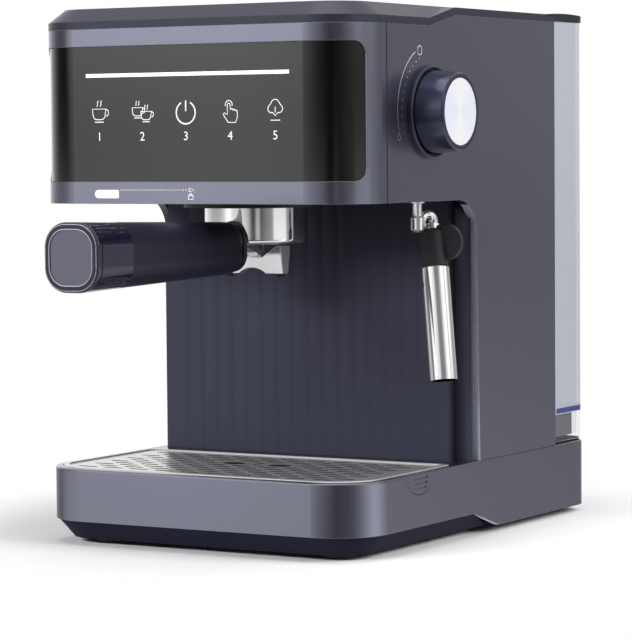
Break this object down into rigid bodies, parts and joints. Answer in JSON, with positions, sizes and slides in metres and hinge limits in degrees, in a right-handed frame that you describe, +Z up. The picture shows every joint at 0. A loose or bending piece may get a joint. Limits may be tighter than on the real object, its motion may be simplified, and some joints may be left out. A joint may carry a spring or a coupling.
{
  "type": "espresso machine",
  "caption": "Domestic espresso machine with a touch panel, bayonet portafilter, swivelling steam wand, steam knob, lift-out drip tray and a clear lift-off water tank at the back.",
  "frame": {"origin": "middle of the whole footprint, handle and knob included, on the floor", "axes": "+X to the machine's right, the side with the steam knob; +Y to the back; +Z up"},
  "size_m": [0.229, 0.3964, 0.299],
  "materials": {
    "slate_satin": "satin, slate blue-grey",
    "slate_dark": "satin, dark slate",
    "splash_dark": "satin, near black",
    "black_plastic": "fine matt grain",
    "panel_black": "glossy",
    "light_white": "lit, white",
    "brushed_steel": "brushed",
    "chrome": "polished",
    "knob_dark": "satin",
    "cap_silver": "spun",
    "handle_satin": "satin",
    "handle_gloss": "glossy",
    "clear_plastic": "clear",
    "insert_grey": "matt",
    "rubber_black": "matt",
    "cast_aluminium": "as cast",
    "brass": "bright",
    "board_green": "solder mask",
    "hose_pale": "silicone",
    "pump_body": "coated"
  },
  "bodies": {
    "body": {"base_shell": "slate_satin", "plinth": "black_plastic", "rubber_feet": "rubber_black", "case_screws": "brushed_steel", "back_splash": "splash_dark", "side_panel_right": "slate_satin", "side_panel_left": "slate_satin", "rear_wall": "splash_dark", "fascia": "slate_satin", "touch_glass": "panel_black", "light_bar": "light_white", "touch_board": "board_green", "top_cover": "slate_dark", "head_underside": "black_plastic", "group_collar": "black_plastic", "group_gasket": "rubber_black", "thermoblock": "cast_aluminium", "thermostats": "black_plastic", "shower_screen": "brushed_steel", "shower_screw": "brushed_steel", "knob_bezel": "knob_dark", "steam_valve": "brass", "steam_pipe": "chrome", "pipe_flange": "chrome", "tank_pad": "rubber_black", "tank_socket": "black_plastic", "socket_seal": "rubber_black", "pump": "pump_body", "pump_mounts": "rubber_black", "inlet_hose": "hose_pale", "pressure_hose": "hose_pale", "steam_hose": "hose_pale", "control_board": "board_green", "board_standoffs": "black_plastic", "cord_gland": "rubber_black"},
    "portafilter": {"portafilter_bowl": "chrome", "filter_basket": "brushed_steel", "spout": "chrome", "spout_tips": "rubber_black", "portafilter_handle": "handle_satin", "handle_band": "handle_gloss", "handle_end_cap": "handle_gloss", "handle_ferrule": "black_plastic", "handle_bolt": "brushed_steel"},
    "knob": {"steam_knob": "knob_dark", "knob_cap": "cap_silver", "valve_spindle": "brass"},
    "wand": {"wand_elbow": "chrome", "wand_grip": "black_plastic", "wand_tube": "brushed_steel", "steam_nozzle": "brushed_steel"},
    "sleeve": {"froth_sleeve": "brushed_steel"},
    "tray": {"drip_tray": "slate_satin"},
    "grate": {"drip_grate": "brushed_steel"},
    "tank": {"water_tank": "clear_plastic", "tank_insert": "insert_grey", "tank_valve_body": "insert_grey"},
    "plunger": {"tank_valve": "insert_grey"},
    "lid": {"tank_lid": "slate_dark", "lid_pins": "brushed_steel"}
  },
  "joints": [
    {"name": "knob_turn", "type": "hinge", "parent": "body", "child": "knob", "pos_m": [-0.0095, -0.00595, 0.2399], "axis": [1, 0, 0], "range_deg": [0, 150]},
    {"name": "portafilter_turn", "type": "hinge", "parent": "body", "child": "portafilter", "pos_m": [-0.0095, -0.01925, 0.19], "axis": [0, 0, 1], "range_deg": [-45, 0]},
    {"name": "wand_swivel", "type": "hinge", "parent": "body", "child": "wand", "pos_m": [0.0795, 0.00825, 0.18], "axis": [0, 0, 1], "range_deg": [-75, 25]},
    {"name": "sleeve_pull", "type": "slide", "parent": "wand", "child": "sleeve", "axis": [0.1487, -0.1334, -0.9798], "range_m": [0, 0.018]},
    {"name": "tray_lift", "type": "slide", "parent": "body", "child": "tray", "axis": [0, 0, 1], "range_m": [0, 0.022]},
    {"name": "grate_lift", "type": "slide", "parent": "tray", "child": "grate", "axis": [0, 0, 1], "range_m": [0, 0.006]},
    {"name": "tank_lift", "type": "slide", "parent": "body", "child": "tank", "axis": [0, 0, 1], "range_m": [0, 0.1]},
    {"name": "lid_hinge", "type": "hinge", "parent": "tank", "child": "lid", "pos_m": [-0.0095, 0.19585, 0.2961], "axis": [-1, 0, 0], "range_deg": [0, 100]},
    {"name": "plunger_drop", "type": "slide", "parent": "tank", "child": "plunger", "axis": [0, 0, 1], "range_m": [-0.0018, 0]}
  ],
  "couplings": [
    {"joint": "plunger_drop", "follows": "tank_lift", "ratio": -0.018}
  ]
}
